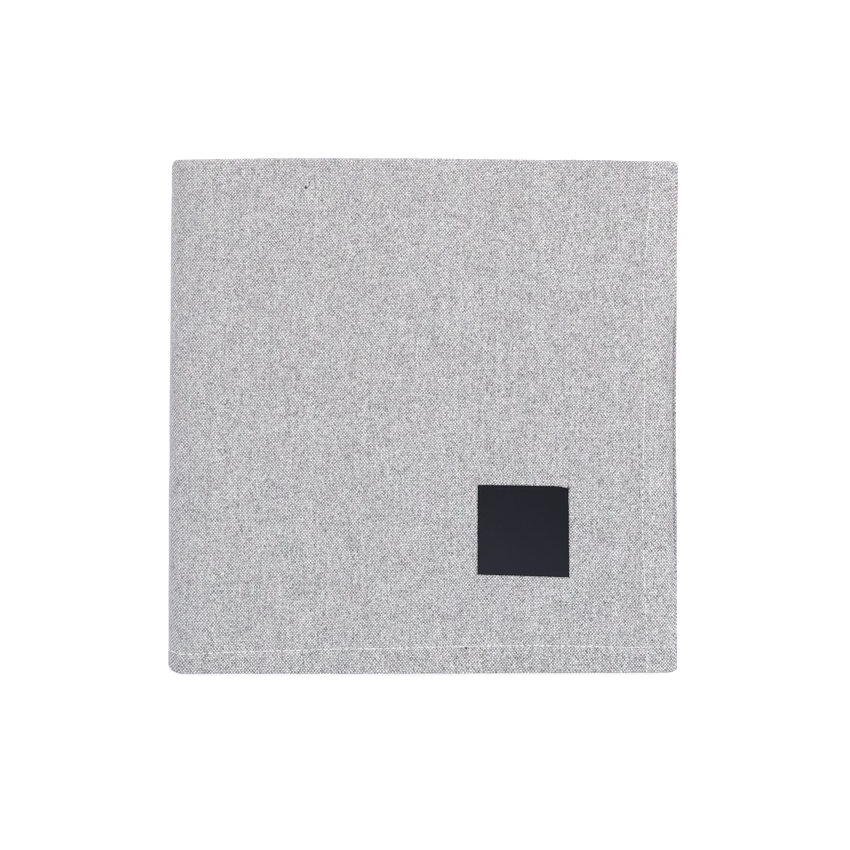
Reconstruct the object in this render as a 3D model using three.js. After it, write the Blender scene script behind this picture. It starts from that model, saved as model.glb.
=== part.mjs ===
// A wipeable tablecloth of coarse grey canvas, folded into a flat square stack, with a woven label.
//
// The square cloth is book folded twice from front to back, which makes a sandwich of four layers, and that
// sandwich is book folded twice from right to left. The stack then has sixteen layers: tight creases along
// the back, one thick round fold down the left, and the hems at the front and on the right.
//
// Millimetres. X runs to the right, Y to the back and Z up. The origin is under the middle of the stack.

import * as THREE from 'three';

// Driving sizes.
const stackWidth = 351.8;
const stackDepth = 355.8;
const clothThickness = 1.0;
const layerGap = 0.35; // air between two layers inside a sandwich
const sandwichGap = 0.4; // air between two sandwiches
const sideHemDepth = 20; // the hem that lies on the right
const frontHemDepth = 16;

const labelThickness = 1.0;
const labelClearance = 0.3; // between the label and the layer under it
const labelRows = 3;
// The label's front and back edges, from left to right. Its back right corner is pulled in a little.
const labelOutline = [
  { frontX: 37.5, frontY: -109.2, backX: 37.6, backY: -47.4 },
  { frontX: 65.6, frontY: -110.1, backX: 65.6, backY: -47.7 },
  { frontX: 93.5, frontY: -110.9, backX: 93.1, backY: -48.2 },
  { frontX: 100.8, frontY: -111.1, backX: 100.2, backY: -49.9 },
];

// The look of each material.
const canvasGrey = new THREE.MeshStandardMaterial({ color: 0xbab9bb, roughness: 0.75, metalness: 0 });
const labelNavy = new THREE.MeshStandardMaterial({ color: 0x2c2d35, roughness: 0.6, metalness: 0 });

// How far the finished outline is drawn in from a plain rectangle. A share of 0 is the left end of the
// front and back edges, and the front end of the left and right edges.
const outline = [
  { share: 0.0, front: 0.1, back: 1.2, left: 0.6, right: 0.9 },
  { share: 0.25, front: 0.4, back: 0.0, left: 0.7, right: 0.9 },
  { share: 0.5, front: 0.3, back: 0.0, left: 1.0, right: 1.6 },
  { share: 0.75, front: 0.7, back: 0.8, left: 1.6, right: 1.1 },
  { share: 1.0, front: 0.9, back: 2.1, left: 2.5, right: 0.0 },
];

// Each corner is rounded off over this reach along the front or back edge, and to this depth across it.
const corners = [
  { edge: 'front', side: -1, reach: 11, depth: 6 },
  { edge: 'front', side: 1, reach: 8, depth: 3 },
  { edge: 'back', side: -1, reach: 4.5, depth: 4.5 },
  { edge: 'back', side: 1, reach: 5, depth: 3 },
];

// The stack stands higher where hems and folds crowd it: by this share at the edge, fading over this reach.
const swells = [
  { edge: 'front', share: 0.09, reach: 55 },
  { edge: 'right', share: 0.07, reach: 60 },
  { edge: 'left', share: 0.05, reach: 90 },
  { edge: 'back', share: 0.02, reach: 70 },
];

// Long soft waves in the height of the stack, each as a share of that height.
const waves = [
  { share: 0.01, lengthX: 410, lengthY: 620, phase: 0.6 },
  { share: 0.008, lengthX: -520, lengthY: 390, phase: 2.1 },
];

// How unevenly the edges line up: each falls short by up to this amount, once in every such length.
const strays = {
  backCrease: { amount: 0.5, length: 610, phase: 1.1 },
  frontHem: { amount: 0.8, length: 530, phase: 3.6 },
  thickFold: { amount: 0.4, length: 480, phase: 0.3 },
  sideHem: { amount: 0.4, length: 532, phase: 2.62 },
};

// The top layer's side hem falls short by this depth, round a centre that is measured along the hem.
const sideHemDip = { depth: 2.6, centre: 1253, reach: 125, blend: 65 };

// A strip that is folded in half and in half again, seen from its side. It starts at a free end, and its
// parts lie between the shut side, where it is creased, and the open side, where its free ends are. Levels
// and radii are in pitches, which is the distance from one panel to the next. 'outward' is the way in which
// the face side of the strip looks: up or down on a panel, away from or towards the middle of a turn.
const bookFold = [
  { kind: 'panel', level: 0.5, from: 'free', to: 'shut', way: -1, outward: -1 },
  { kind: 'turn', at: 'shut', level: 0, radius: 0.5, start: 90, end: 270, way: 1, outward: -1 },
  { kind: 'panel', level: -0.5, from: 'shut', to: 'open', way: 1, outward: 1 },
  { kind: 'turn', at: 'open', level: -1, radius: 0.5, start: 90, end: -90, way: -1, outward: 1 },
  { kind: 'panel', level: -1.5, from: 'open', to: 'shut', way: -1, outward: -1 },
  { kind: 'turn', at: 'shut', level: 0, radius: 1.5, start: 270, end: 90, way: -1, outward: 1 },
  { kind: 'panel', level: 1.5, from: 'shut', to: 'free', way: 1, outward: 1 },
];
const foldLevels = 4;

// The rulings across the calm part of a panel. The last one is where the stack starts to rise towards the
// hems.
const calmShares = [0, 0.27, 0.54, 0.81];

// Sizes that follow from the driving ones. 'along' runs from the shut side of a fold to its open side.
const halfLevels = (foldLevels - 1) / 2;
const layerPitch = clothThickness + layerGap;
const sandwichThickness = foldLevels * layerPitch - layerGap;
const sandwichPitch = sandwichThickness + sandwichGap;
const stackHeight = foldLevels * sandwichPitch - sandwichGap;

const frontToBack = makeFold({
  length: stackDepth,
  pitch: layerPitch,
  thickness: clothThickness,
  hemDepth: frontHemDepth,
  roundsHemCorners: false,
  bulge: { shut: 0.2, open: 0.1 },
  turnCells: { 0.5: 4, 1.5: 4 },
});
const sideToSide = makeFold({
  length: stackWidth,
  pitch: sandwichPitch,
  thickness: sandwichThickness,
  hemDepth: sideHemDepth,
  roundsHemCorners: true,
  bulge: { shut: 2.0, open: 0.5 },
  turnCells: { 0.5: 8, 1.5: 8 },
});

// Where a fold's turns are centred and its free ends lie, and the stations at which the strip is cut into
// cells.
function makeFold(sizes) {
  const outerReach = halfLevels * sizes.pitch + sizes.thickness / 2 + sizes.bulge.shut;
  const innerReach = (sizes.pitch + sizes.thickness) / 2 + sizes.bulge.open;
  const fold = {
    ...sizes,
    shut: -sizes.length / 2 + outerReach,
    open: sizes.length / 2 - innerReach,
    free: sizes.length / 2,
  };
  fold.stations = placeStations(fold);
  return fold;
}

// The rulings of a panel, as shares of the way from the shut to the open turns. Every layer has the same
// ones, so that the flat faces of neighbouring layers nest. A share of 2 is the free end.
function panelShares(fold, reachesFreeEnd) {
  const hemLine = (fold.free - fold.hemDepth - fold.shut) / (fold.open - fold.shut);
  const shares = [...calmShares, hemLine];
  if (!reachesFreeEnd || fold.roundsHemCorners) shares.push(1);
  if (reachesFreeEnd) shares.push(2);
  return shares;
}

function alongAt(fold, share, shift = { shut: 0, open: 0, free: 0 }) {
  const shut = fold.shut + shift.shut;
  const open = fold.open + shift.open;
  const free = fold.free + shift.free;
  return share <= 1 ? shut + share * (open - shut) : open + (share - 1) * (free - open);
}

// The places at which a stretch of the strip is cut into cells: shares on a panel, angles on a turn.
function stretchValues(fold, stretch) {
  if (stretch.kind === 'turn') {
    const cells = fold.turnCells[stretch.radius];
    const step = (stretch.end - stretch.start) / cells;
    return Array.from({ length: cells + 1 }, (_, i) => stretch.start + step * i);
  }
  const shares = panelShares(fold, stretch.from === 'free' || stretch.to === 'free');
  return stretch.way > 0 ? shares : shares.reverse();
}

function flatDistance(fold, stretch, first, second) {
  if (stretch.kind === 'turn') {
    return THREE.MathUtils.degToRad(Math.abs(second - first)) * stretch.radius * fold.pitch;
  }
  return Math.abs(alongAt(fold, second) - alongAt(fold, first));
}

// Each station is a place on the strip: the stretch that ends there, the share or angle on that stretch,
// and the distance along the flat cloth from the first free end.
function placeStations(fold) {
  const stations = [];
  let flat = 0;
  for (const stretch of bookFold) {
    const values = stretchValues(fold, stretch);
    if (stations.length === 0) stations.push({ stretch, value: values[0], flat });
    for (let i = 1; i < values.length; i++) {
      flat += flatDistance(fold, stretch, values[i - 1], values[i]);
      stations.push({ stretch, value: values[i], flat });
    }
  }
  return stations;
}

// Where a point of the strip comes to lie: how far along, and at what level above the middle of the fold.
function foldPoint(fold, station, offset, shift) {
  const { stretch, value } = station;
  const middle = stretch.level * fold.pitch;
  if (stretch.kind === 'panel') {
    return { along: alongAt(fold, value, shift), level: middle + stretch.outward * offset };
  }
  const angle = THREE.MathUtils.degToRad(value);
  const radius = stretch.radius * fold.pitch + stretch.outward * offset;
  const centre = fold[stretch.at] + shift[stretch.at];
  return {
    along: centre + (radius + fold.bulge[stretch.at]) * Math.cos(angle),
    level: middle + radius * Math.sin(angle),
  };
}

function stray({ amount, length, phase }, distance) {
  return (amount / 2) * (1 + Math.sin((2 * Math.PI * distance) / length + phase));
}

function hemDip({ depth, centre, reach, blend }, distance) {
  return depth * (1 - THREE.MathUtils.smoothstep(Math.abs(distance - centre), reach - blend, reach));
}

// Reads one column of the outline table, with smooth steps between its rows.
function drawnIn(edge, share) {
  const place = THREE.MathUtils.clamp(share, 0, 1) * (outline.length - 1);
  const row = Math.min(Math.floor(place), outline.length - 2);
  const blend = THREE.MathUtils.smoothstep(place - row, 0, 1);
  return THREE.MathUtils.lerp(outline[row][edge], outline[row + 1][edge], blend);
}

function cornerDepth(edge, x) {
  let depth = 0;
  for (const corner of corners) {
    const beyond = corner.side * x - (stackWidth / 2 - corner.reach);
    if (corner.edge === edge && beyond > 0) {
      const share = Math.min(beyond / corner.reach, 1);
      depth += corner.depth * (1 - Math.sqrt(1 - share * share));
    }
  }
  return depth;
}

// Draws a point of the plain rectangular stack in to the finished outline. The corners go by cornerX, which
// is the same in every layer, so that folds inside one another stay so.
function shapeOutline(x, y, cornerX) {
  const acrossShare = x / stackWidth + 0.5;
  const backShare = y / stackDepth + 0.5;
  const front = drawnIn('front', acrossShare) + cornerDepth('front', cornerX);
  const back = drawnIn('back', acrossShare) + cornerDepth('back', cornerX);
  return {
    x: x + drawnIn('left', backShare) * (1 - acrossShare) - drawnIn('right', backShare) * acrossShare,
    y: y + front * (1 - backShare) - back * backShare,
  };
}

// The height of the stack at a point, as a share of its plain height. The underside stays flat.
function heightShare(x, y) {
  const edgeDistance = {
    front: y + stackDepth / 2,
    back: stackDepth / 2 - y,
    left: x + stackWidth / 2,
    right: stackWidth / 2 - x,
  };
  let share = 1;
  for (const swell of swells) {
    const fade = Math.max(1 - Math.max(edgeDistance[swell.edge], 0) / swell.reach, 0);
    share += swell.share * fade * fade;
  }
  for (const wave of waves) {
    share += wave.share * Math.sin(2 * Math.PI * (x / wave.lengthX + y / wave.lengthY) + wave.phase);
  }
  return share;
}

// Places a point of the flat cloth, given by its two stations and its height above the middle of the cloth.
function clothPoint(across, down, offset) {
  const creaseStray = stray(strays.backCrease, across.flat);
  const downShift = { shut: creaseStray, open: -creaseStray, free: -stray(strays.frontHem, across.flat) };
  const layer = foldPoint(frontToBack, down, offset, downShift);
  const y = -layer.along;
  const foldStray = stray(strays.thickFold, y);
  const hemStray = stray(strays.sideHem, down.flat) + hemDip(sideHemDip, down.flat);
  const evenShift = { shut: foldStray, open: -foldStray, free: 0 };
  const acrossShift = { ...evenShift, free: -hemStray };
  const sandwich = foldPoint(sideToSide, across, layer.level, acrossShift);
  const cornerX = foldPoint(sideToSide, across, layer.level, evenShift).along;
  const plan = shapeOutline(sandwich.along, y, cornerX);
  const height = sandwich.level + stackHeight / 2;
  return [plan.x, plan.y, height * heightShare(plan.x, plan.y)];
}

// A closed sheet: a face side, a back side, and a rim that joins them round all four edges. 'point' gives
// the place of a grid point on one of the two sides, and 'turned' says which diagonal splits a cell.
function closedSheet(columns, rows, point, turned) {
  const positions = [];
  for (const side of [1, -1]) {
    for (let i = 0; i < columns; i++) {
      for (let j = 0; j < rows; j++) positions.push(...point(i, j, side));
    }
  }
  const backSide = columns * rows;
  const at = (i, j) => i * rows + j;
  const indices = [];
  const addQuad = (a, b, c, d) => indices.push(a, b, c, a, c, d);

  for (let i = 0; i + 1 < columns; i++) {
    for (let j = 0; j + 1 < rows; j++) {
      let cell = [at(i, j), at(i, j + 1), at(i + 1, j + 1), at(i + 1, j)];
      if (turned(i, j)) cell = [...cell.slice(1), cell[0]];
      addQuad(...cell);
      addQuad(...[cell[0], cell[3], cell[2], cell[1]].map((corner) => corner + backSide));
    }
  }

  const rim = [];
  for (let i = 0; i < columns; i++) rim.push(at(i, 0));
  for (let j = 1; j < rows; j++) rim.push(at(columns - 1, j));
  for (let i = columns - 2; i >= 0; i--) rim.push(at(i, rows - 1));
  for (let j = rows - 2; j > 0; j--) rim.push(at(0, j));
  rim.forEach((corner, n) => {
    const next = rim[(n + 1) % rim.length];
    addQuad(corner, next, next + backSide, corner + backSide);
  });

  const geometry = new THREE.BufferGeometry();
  geometry.setAttribute('position', new THREE.Float32BufferAttribute(positions, 3));
  geometry.setIndex(indices);
  geometry.computeVertexNormals();
  return geometry;
}

function makeCloth() {
  const across = sideToSide.stations;
  const down = frontToBack.stations;
  const point = (i, j, side) => clothPoint(across[i], down[j], (side * clothThickness) / 2);
  const turned = (i, j) => across[i + 1].stretch.way * down[j + 1].stretch.way < 0;
  return closedSheet(across.length, down.length, point, turned);
}

// The label follows the top of the stack. Its columns run from left to right and its rows from back to
// front.
function makeLabel() {
  const point = (i, j, side) => {
    const edge = labelOutline[i];
    const x = THREE.MathUtils.lerp(edge.backX, edge.frontX, j / labelRows);
    const y = THREE.MathUtils.lerp(edge.backY, edge.frontY, j / labelRows);
    const lift = labelClearance + (side > 0 ? labelThickness : 0);
    return [x, y, stackHeight * heightShare(x, y) + lift];
  };
  return closedSheet(labelOutline.length, labelRows + 1, point, () => false);
}

function namedMesh(name, geometry, material) {
  const mesh = new THREE.Mesh(geometry, material);
  mesh.name = name;
  return mesh;
}

const tablecloth = new THREE.Group();
tablecloth.add(namedMesh('cloth', makeCloth(), canvasGrey));
tablecloth.add(namedMesh('label', makeLabel(), labelNavy));

export default tablecloth;
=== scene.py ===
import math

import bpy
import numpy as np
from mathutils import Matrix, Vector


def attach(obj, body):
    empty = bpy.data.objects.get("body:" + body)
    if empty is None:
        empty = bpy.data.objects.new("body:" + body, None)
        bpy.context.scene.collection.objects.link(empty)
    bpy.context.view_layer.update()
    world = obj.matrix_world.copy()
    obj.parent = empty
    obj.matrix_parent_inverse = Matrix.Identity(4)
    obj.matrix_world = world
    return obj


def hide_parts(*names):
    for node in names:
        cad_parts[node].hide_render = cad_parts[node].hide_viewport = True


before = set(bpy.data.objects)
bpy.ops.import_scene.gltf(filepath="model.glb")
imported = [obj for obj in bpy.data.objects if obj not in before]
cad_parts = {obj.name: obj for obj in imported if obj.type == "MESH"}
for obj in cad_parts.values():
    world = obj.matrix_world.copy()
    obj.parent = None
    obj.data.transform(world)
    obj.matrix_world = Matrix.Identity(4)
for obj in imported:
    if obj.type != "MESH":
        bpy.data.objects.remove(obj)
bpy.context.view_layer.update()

# The looks of a wipeable tablecloth that is folded into a flat stack: the canvas with its turned hems, the
# rows of hem stitches, the sewn-on label, and a plain white studio seen from straight above.
#
# The cloth follows the same folds as the frame. Lengths are in millimetres until a mesh is made. X runs to
# the right, Y to the back and Z up. A place on the cloth is given by its flat coordinates: 'across' is the
# distance from the hem on the right and 'down' the distance from the hem at the front. Both are measured
# along the cloth from the corner that lies front right on top.

METRES = 0.001
random = np.random.default_rng(7)

# -------------------- sizes

STACK_WIDTH = 351.8
STACK_DEPTH = 355.8
CLOTH_THICKNESS = 1.0
LAYER_GAP = 0.35
SANDWICH_GAP = 0.4  # between the strips of four layers that the second book fold lays on each other
FOLD_LEVELS = 4

# How far the outline is drawn in from a plain rectangle, at even steps along each edge.
OUTLINE = {
    "front": [0.1, 0.4, 0.3, 0.7, 0.9],
    "back": [1.2, 0.0, 0.0, 0.8, 2.1],
    "left": [0.6, 0.7, 1.0, 1.6, 2.5],
    "right": [0.9, 0.9, 1.6, 1.1, 0.0],
}
# How a corner is rounded off: its edge, left (-1) or right (1), and the reach and depth of the round.
CORNERS = [
    ("front", -1, 11.0, 6.0),
    ("front", 1, 8.0, 3.0),
    ("back", -1, 4.5, 4.5),
    ("back", 1, 5.0, 3.0),
]
# How much higher the stack stands at an edge, as a share of its height, and how far in that reaches.
SWELLS = {"front": (0.09, 55.0), "right": (0.07, 60.0), "left": (0.05, 90.0), "back": (0.02, 70.0)}
# Slow waves in the stack's height: the share of it, the length along X and along Y, and the phase.
WAVES = [(0.01, 410.0, 620.0, 0.6), (0.008, -520.0, 390.0, 2.1)]
# How far edges and turns stray inward, in waves along them: the amount, the length and the phase.
STRAYS = {
    "back_crease": (0.5, 610.0, 1.1),
    "front_hem": (0.8, 530.0, 3.6),
    "thick_fold": (0.4, 480.0, 0.3),
    "side_hem": (0.4, 532.0, 2.62),
}
# The top layer's side hem falls short by this depth, round a centre measured along it from its far end.
SIDE_HEM_DIP = {"depth": 2.6, "centre": 1253.0, "reach": 125.0, "blend": 65.0}

# The book fold of a strip, from its top layer down. Levels and radii are in pitches. 'outward' is the way in
# which the face side looks: up or down on a panel, away from or towards the middle of a turn.
BOOK_FOLD = [
    {"kind": "panel", "level": 1.5, "from": "free", "to": "shut", "outward": 1},
    {"kind": "turn", "at": "shut", "level": 0.0, "radius": 1.5, "start": 90, "end": 270, "outward": 1},
    {"kind": "panel", "level": -1.5, "from": "shut", "to": "open", "outward": -1},
    {"kind": "turn", "at": "open", "level": -1.0, "radius": 0.5, "start": -90, "end": 90, "outward": 1},
    {"kind": "panel", "level": -0.5, "from": "open", "to": "shut", "outward": 1},
    {"kind": "turn", "at": "shut", "level": 0.0, "radius": 0.5, "start": 270, "end": 90, "outward": -1},
    {"kind": "panel", "level": 0.5, "from": "shut", "to": "free", "outward": -1},
]

# How much further than a half circle the turns stand out, where the book is shut and where it is open.
FRONT_TO_BACK_BULGE = {"shut": 0.2, "open": 0.1}
SIDE_TO_SIDE_BULGE = {"shut": 2.0, "open": 0.5}

# The two rows of hem stitches as they lie on top of the stack.
FRONT_ROW = {
    "x": [-158.15, -125.05, -91.95, -58.95, -25.85, 7.25, 40.35, 73.35, 106.45, 139.65, 171.65],
    "y": [-164.0, -162.3, -161.5, -160.5, -160.2, -159.2, -158.5, -157.9, -158.6, -159.2, -159.0],
}
SIDE_ROW = {
    "x": [154.25, 153.65, 152.25, 150.85, 151.55, 152.05, 152.85, 152.25, 151.75, 154.35, 156.95, 157.75],
    "y": [-158.0, -141.0, -108.0, -75.0, -42.0, -9.0, 24.0, 57.0, 90.0, 123.0, 156.0, 172.9],
}
ROW_STEPS = 60
ROW_START = 2.0  # how far from the edge of the cloth each row starts
STITCH_PITCH = 4.68
STITCH_VISIBLE = 0.8  # the share of the pitch that lies on top of the cloth
THREAD_RADIUS = 0.34
STITCH_RISE = 0.34
SIDE_ROW_THREAD = 0.9  # the side row's thread and rise, as shares of the front row's
SIDE_ROW_RISE = 0.85
ROW_TROUGH_DEPTH = 0.3
ROW_TROUGH_REACH = 1.6
HEM_PLIES_HEIGHT = 0.3  # how much the turned hem stands above the single cloth
HEM_TURN_BEYOND_ROW = 2.0  # the hem's inner turned edge lies this far inside its row of stitches
HEM_TURN_BLEND = 1.6

# The top layer's side hem stands off the layer below, between these distances from the front hem.
SIDE_HEM_LIFT = {"height": 1.1, "reach": 7.0, "from": 50.0, "to": 300.0, "blend": 60.0}

# Soft buckles in the top layer: the height, the length, how far they are turned in degrees, and the phase.
BUCKLES = [
    (0.13, 84.0, 24.0, 0.4),
    (0.11, 61.0, 101.0, 2.9),
    (0.08, 46.0, 64.0, 4.4),
    (0.07, 37.0, 152.0, 1.7),
    (0.05, 28.0, 8.0, 5.6),
]
BUCKLE_BEND = 0.9  # how much each buckle winds from side to side, and over what length
BUCKLE_BEND_LENGTH = 190.0

# The label's front and back edge, at these shares of its width.
LABEL_OUTLINE = {
    "share": [0.0, 0.45, 0.89, 1.0],
    "front_x": [37.5, 65.6, 93.5, 100.8],
    "front_y": [-109.2, -110.1, -110.9, -111.1],
    "back_x": [37.6, 65.6, 93.1, 100.2],
    "back_y": [-47.4, -47.7, -48.2, -49.9],
}
LABEL_WIDTH = 63.0
LABEL_DEPTH = 61.6
LABEL_THICKNESS = 0.5
LABEL_SEAM_INSET = 2.2

# One repeat of the weave's map. It covers the top of the stack, and a little of the fold beside it.
WEAVE_TILE = 360.0
WEAVE_MARGIN = 2.5
WARP_YARNS = 346
WEFT_YARNS = 298
WARP_LEAN = 6  # how many yarns each set drifts over one repeat, because the cloth lies a little askew
WEFT_LEAN = -10

# Neps, dark specks of fibre caught in the weave: X and Y on top of the stack, the radius, and how dark.
NEPS = [
    (-80.65, 157.1, 1.0, 0.98),
    (29.65, -159.8, 1.0, 0.98),
    (-69.55, 148.1, 0.8, 0.75),
    (-11.05, -121.3, 0.8, 0.7),
    (-112.35, 126.1, 0.8, 0.75),
    (131.55, -112.3, 0.8, 0.65),
]

LAYER_PITCH = CLOTH_THICKNESS + LAYER_GAP
SANDWICH_THICKNESS = FOLD_LEVELS * LAYER_PITCH - LAYER_GAP
SANDWICH_PITCH = SANDWICH_THICKNESS + SANDWICH_GAP
STACK_HEIGHT = FOLD_LEVELS * SANDWICH_PITCH - SANDWICH_GAP

# -------------------- the folds


def make_fold(length, pitch, thickness, bulge):
    """Where a fold's turns are centred and its free ends lie, and where each stretch starts and ends."""
    outer_reach = (FOLD_LEVELS - 1) / 2 * pitch + thickness / 2 + bulge["shut"]
    inner_reach = (pitch + thickness) / 2 + bulge["open"]
    place = {"shut": -length / 2 + outer_reach, "open": length / 2 - inner_reach, "free": length / 2}
    stretches = []
    start = 0.0
    for stretch in BOOK_FOLD:
        if stretch["kind"] == "panel":
            size = abs(place[stretch["to"]] - place[stretch["from"]])
        else:
            size = math.pi * stretch["radius"] * pitch
        stretches.append({**stretch, "flat_start": start, "flat_end": start + size})
        start += size
    return {"place": place, "pitch": pitch, "bulge": bulge, "stretches": stretches, "length": start}


def smoothstep(low, high, value):
    share = np.clip((value - low) / (high - low), 0, 1)
    return share * share * (3 - 2 * share)


def fold_point(fold, flat, offset, shift):
    """How far along and at what level points come to lie, from their flat distances. 'offset' is their height
    above the middle of the sheet, and 'shift' says how far the fold's turns and free ends are moved."""
    place = fold["place"]
    shape = np.broadcast_shapes(np.shape(flat), np.shape(offset), *(np.shape(s) for s in shift.values()))
    flat = np.broadcast_to(flat, shape)
    offset = np.broadcast_to(offset, shape)
    moved = {name: np.broadcast_to(place[name] + shift[name], shape) for name in place}
    along = np.zeros(shape)
    level = np.zeros(shape)
    inner_ends = [stretch["flat_end"] for stretch in fold["stretches"][:-1]]
    lies_on = np.searchsorted(inner_ends, flat, side="right")
    for index, stretch in enumerate(fold["stretches"]):
        here = lies_on == index
        share = (flat - stretch["flat_start"]) / (stretch["flat_end"] - stretch["flat_start"])
        middle = stretch["level"] * fold["pitch"]
        if stretch["kind"] == "turn":
            angle = np.radians(stretch["start"] + share * (stretch["end"] - stretch["start"]))
            radius = stretch["radius"] * fold["pitch"] + stretch["outward"] * offset
            stretch_along = moved[stretch["at"]] + (radius + fold["bulge"][stretch["at"]]) * np.cos(angle)
            stretch_level = middle + radius * np.sin(angle)
        else:
            plain = place[stretch["from"]] + share * (place[stretch["to"]] - place[stretch["from"]])
            on_panel = (plain - place["shut"]) / (place["open"] - place["shut"])
            on_hem = (plain - place["open"]) / (place["free"] - place["open"])
            panel_along = moved["shut"] + on_panel * (moved["open"] - moved["shut"])
            hem_along = moved["open"] + on_hem * (moved["free"] - moved["open"])
            stretch_along = np.where(plain <= place["open"], panel_along, hem_along)
            stretch_level = middle + stretch["outward"] * offset
        along[here] = stretch_along[here]
        level[here] = stretch_level[here]
    return along, level


def cell_distances(fold, stops, level):
    """How far along the strip each cell starts and ends, as measured on a layer at this level above the
    middle of the strip. The outside of a turn is longer than its middle."""
    starts = []
    ends = []
    for first, second in zip(stops[:-1], stops[1:]):
        stretch = next(s for s in fold["stretches"] if (first + second) / 2 < s["flat_end"])
        longer = 1.0
        if stretch["kind"] == "turn":
            radius = stretch["radius"] * fold["pitch"]
            longer = (radius + stretch["outward"] * level + fold["bulge"][stretch["at"]] / 2) / radius
        starts.append(stretch["flat_start"] + (first - stretch["flat_start"]) * longer)
        ends.append(stretch["flat_start"] + (second - stretch["flat_start"]) * longer)
    return np.array(starts), np.array(ends)


def stray(name, distance):
    amount, length, phase = STRAYS[name]
    return amount / 2 * (1 + np.sin(2 * math.pi * distance / length + phase))


def hem_dip(distance):
    dip = SIDE_HEM_DIP
    off_centre = np.abs(distance - dip["centre"])
    return dip["depth"] * (1 - smoothstep(dip["reach"] - dip["blend"], dip["reach"], off_centre))


def drawn_in(edge, share):
    depths = np.array(OUTLINE[edge])
    place = np.clip(share, 0, 1) * (len(depths) - 1)
    row = np.minimum(np.floor(place).astype(int), len(depths) - 2)
    return depths[row] + smoothstep(0, 1, place - row) * (depths[row + 1] - depths[row])


def corner_depth(edge, x):
    depth = np.zeros(np.shape(x))
    for corner_edge, side, reach, corner in CORNERS:
        if corner_edge == edge:
            share = np.clip((side * x - (STACK_WIDTH / 2 - reach)) / reach, 0, 1)
            depth += corner * (1 - np.sqrt(1 - share * share))
    return depth


def shape_outline(x, y, corner_x):
    """Draws points of the plain rectangular stack in to the finished outline."""
    across_share = x / STACK_WIDTH + 0.5
    back_share = y / STACK_DEPTH + 0.5
    front = drawn_in("front", across_share) + corner_depth("front", corner_x)
    back = drawn_in("back", across_share) + corner_depth("back", corner_x)
    left = drawn_in("left", back_share)
    right = drawn_in("right", back_share)
    plan_x = x + left * (1 - across_share) - right * across_share
    plan_y = y + front * (1 - back_share) - back * back_share
    return plan_x, plan_y


def height_share(x, y):
    """The height of the stack, as a share of its plain height."""
    distance = {
        "front": y + STACK_DEPTH / 2,
        "back": STACK_DEPTH / 2 - y,
        "left": x + STACK_WIDTH / 2,
        "right": STACK_WIDTH / 2 - x,
    }
    share = np.ones(np.shape(x))
    for edge, (swell, reach) in SWELLS.items():
        fade = np.clip(1 - np.maximum(distance[edge], 0) / reach, 0, 1)
        share += swell * fade * fade
    for wave, length_x, length_y, phase in WAVES:
        share += wave * np.sin(2 * math.pi * (x / length_x + y / length_y) + phase)
    return share


front_to_back = make_fold(STACK_DEPTH, LAYER_PITCH, CLOTH_THICKNESS, FRONT_TO_BACK_BULGE)
side_to_side = make_fold(STACK_WIDTH, SANDWICH_PITCH, SANDWICH_THICKNESS, SIDE_TO_SIDE_BULGE)


def cloth_point(across, down, offset):
    """Where points of the flat cloth come to lie in the stack, as an array of x, y, z."""
    across = np.asarray(across, float)
    down = np.asarray(down, float)
    # The strays are measured from the far corner of the cloth.
    far_across = side_to_side["length"] - across
    far_down = front_to_back["length"] - down
    crease_stray = stray("back_crease", far_across)
    down_shift = {"shut": crease_stray, "open": -crease_stray, "free": -stray("front_hem", far_across)}
    along, level = fold_point(front_to_back, down, offset, down_shift)
    y = -along
    fold_stray = stray("thick_fold", y)
    even_shift = {"shut": fold_stray, "open": -fold_stray, "free": 0.0}
    hem_stray = stray("side_hem", far_down) + hem_dip(far_down)
    across_shift = {**even_shift, "free": -hem_stray}
    x, z = fold_point(side_to_side, across, level, across_shift)
    corner_x, _ = fold_point(side_to_side, across, level, even_shift)
    x, y = shape_outline(x, y, corner_x)
    z = (z + STACK_HEIGHT / 2) * height_share(x, y)
    return np.stack(np.broadcast_arrays(x, y, z), axis=-1)


SEARCH_ROUNDS = 6


def flat_place(x, y):
    """The flat coordinates of the points of the top layer that lie at x and y."""
    across = STACK_WIDTH / 2 - np.asarray(x, float)
    down = np.asarray(y, float) + STACK_DEPTH / 2
    for _ in range(SEARCH_ROUNDS):
        reached = cloth_point(across, down, CLOTH_THICKNESS / 2)
        across = across + reached[..., 0] - x
        down = down + y - reached[..., 1]
    return across, down


# -------------------- the relief


def row_in_flat(row):
    """The flat coordinates of places along a row of stitches, in the order of its table."""
    steps = np.linspace(0, len(row["x"]) - 1, ROW_STEPS)
    places = np.arange(len(row["x"]))
    return flat_place(np.interp(steps, places, row["x"]), np.interp(steps, places, row["y"]))


front_row_across, front_row_down = row_in_flat(FRONT_ROW)
side_row_across, side_row_down = row_in_flat(SIDE_ROW)


def front_row_depth(across):
    """How far the front row of stitches lies from the front hem's edge."""
    return np.interp(across, front_row_across[::-1], front_row_down[::-1])


def side_row_depth(down):
    return np.interp(down, side_row_down, side_row_across)


def top_share(across, down):
    """1 on the top layer, fading to 0 round the outermost folds."""
    left_turn = side_to_side["stretches"][1]
    back_turn = front_to_back["stretches"][1]
    left_fade = 1 - smoothstep(left_turn["flat_start"], left_turn["flat_end"], across)
    back_fade = 1 - smoothstep(back_turn["flat_start"], back_turn["flat_end"], down)
    return left_fade * back_fade


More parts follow.
